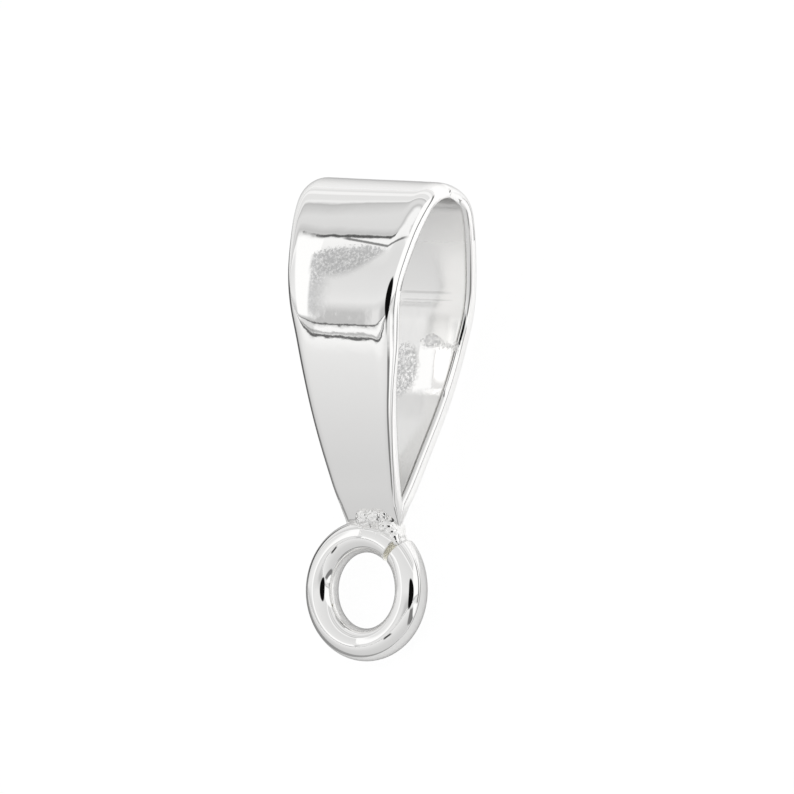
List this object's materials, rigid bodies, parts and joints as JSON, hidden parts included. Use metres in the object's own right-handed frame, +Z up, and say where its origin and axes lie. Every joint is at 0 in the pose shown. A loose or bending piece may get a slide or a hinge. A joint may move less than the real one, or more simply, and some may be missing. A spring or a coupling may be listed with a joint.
{
  "type": "bail finding",
  "caption": "Polished silver bail: a tapered strip folded into a teardrop loop for a chain, with a small ring of round wire soldered under its foot.",
  "frame": {"origin": "under the middle of the finding, on the surface it lies on", "axes": "+Z up from the surface, +Y along the finding toward the fold, +X across the strip toward the side that the ring's cut is on, seen from the front face, which lies uppermost"},
  "size_m": [0.0052, 0.0148, 0.0049],
  "materials": {
    "silver": "polished sterling silver, with a rougher patch of solder at the foot"
  },
  "bodies": {
    "root": {"bail": "silver"}
  },
  "joints": []
}
